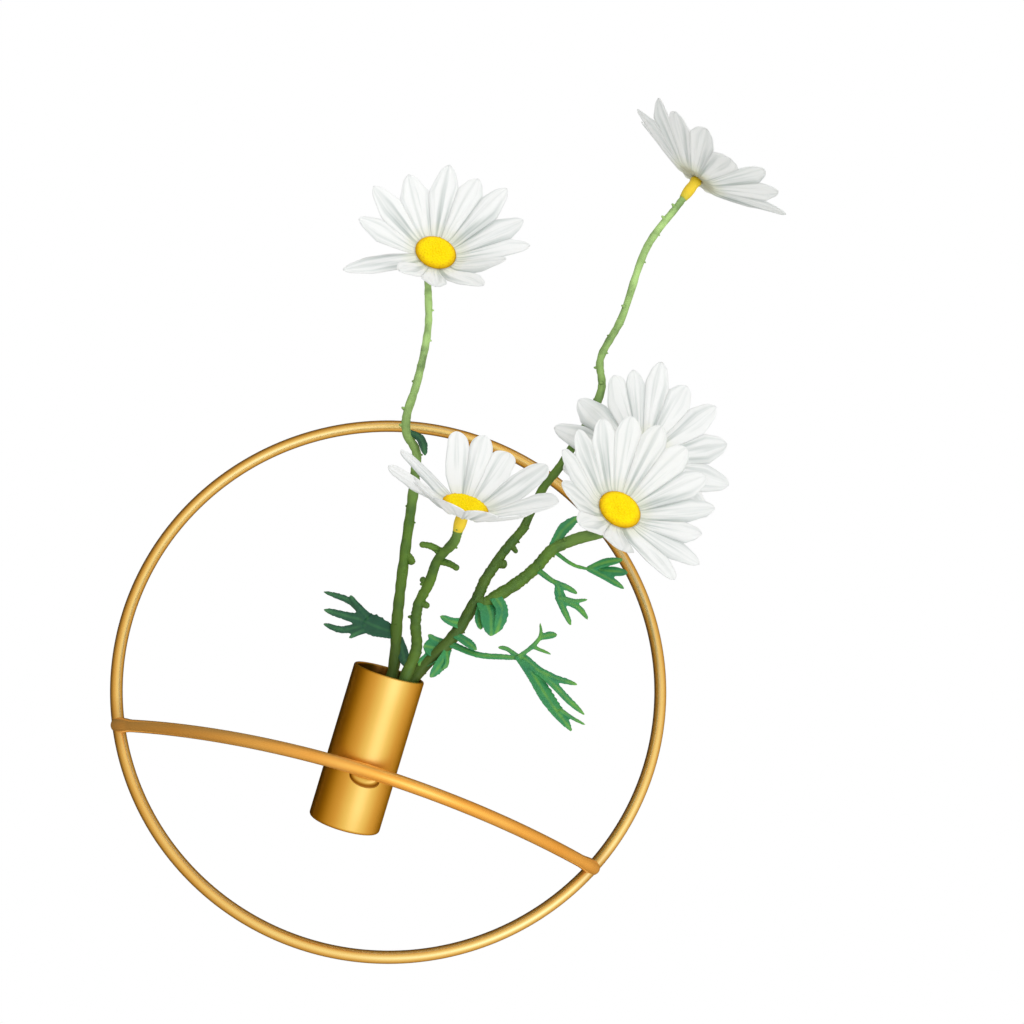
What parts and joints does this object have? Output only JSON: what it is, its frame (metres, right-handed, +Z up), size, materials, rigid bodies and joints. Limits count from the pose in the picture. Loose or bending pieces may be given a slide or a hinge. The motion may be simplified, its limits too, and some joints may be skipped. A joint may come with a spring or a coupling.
{
  "type": "wall-mounted flower holder",
  "caption": "Gold wire ring that hangs on a wall, crossed by a bowed bar that carries a slim leaning cup with lift-out artificial daisy sprays.",
  "frame": {"origin": "on the wall plane, at the middle of the flat pad below the hanger tab's keyhole", "axes": "+X right as seen from the room, +Y into the wall, +Z up the wall"},
  "size_m": [0.2046, 0.1333, 0.319],
  "materials": {
    "gold_metal": "satin gold finish on steel wire and tube",
    "petal_cloth": "white polyester cloth, stamped with lengthwise grooves",
    "disc_flock": "matte yellow moulded florets",
    "sleeve_plastic": "golden yellow moulded plastic",
    "stem_plastic": "green moulded plastic over wire",
    "leaf_plastic": "blue-green moulded plastic, darker along the edges"
  },
  "bodies": {
    "holder": {"ring": "gold_metal", "cross_bar": "gold_metal", "mount_stud": "gold_metal", "cup_tube": "gold_metal", "cup_base": "gold_metal", "hanger_tab": "gold_metal"},
    "left_spray": {"left_stem": "stem_plastic", "left_sleeve": "sleeve_plastic", "left_petals": "petal_cloth", "left_disc": "disc_flock", "left_leaf": "leaf_plastic", "left_bract": "leaf_plastic"},
    "front_spray": {"front_stem": "stem_plastic", "front_sleeve": "sleeve_plastic", "front_petals": "petal_cloth", "front_disc": "disc_flock"},
    "right_spray": {"right_stem": "stem_plastic", "tall_branch": "stem_plastic", "tall_sleeve": "sleeve_plastic", "tall_petals": "petal_cloth", "tall_disc": "disc_flock", "middle_branch": "stem_plastic", "middle_sleeve": "sleeve_plastic", "middle_petals": "petal_cloth", "middle_disc": "disc_flock", "back_branch": "stem_plastic", "back_sleeve": "sleeve_plastic", "back_petals": "petal_cloth", "back_disc": "disc_flock", "lower_leaf": "leaf_plastic", "node_leaf": "leaf_plastic", "inner_leaf": "leaf_plastic", "web_leaf": "leaf_plastic", "mouth_leaf": "leaf_plastic", "hanging_leaf": "leaf_plastic", "ring_leaf": "leaf_plastic"}
  },
  "joints": [
    {"name": "left_lift", "type": "slide", "parent": "holder", "child": "left_spray", "axis": [0.0049, -0.3101, 0.9507], "range_m": [0, 0.056]},
    {"name": "front_lift", "type": "slide", "parent": "holder", "child": "front_spray", "axis": [0.0379, -0.4019, 0.9149], "range_m": [0, 0.056]},
    {"name": "right_lift", "type": "slide", "parent": "holder", "child": "right_spray", "axis": [0.0554, -0.3517, 0.9345], "range_m": [0, 0.056]}
  ]
}
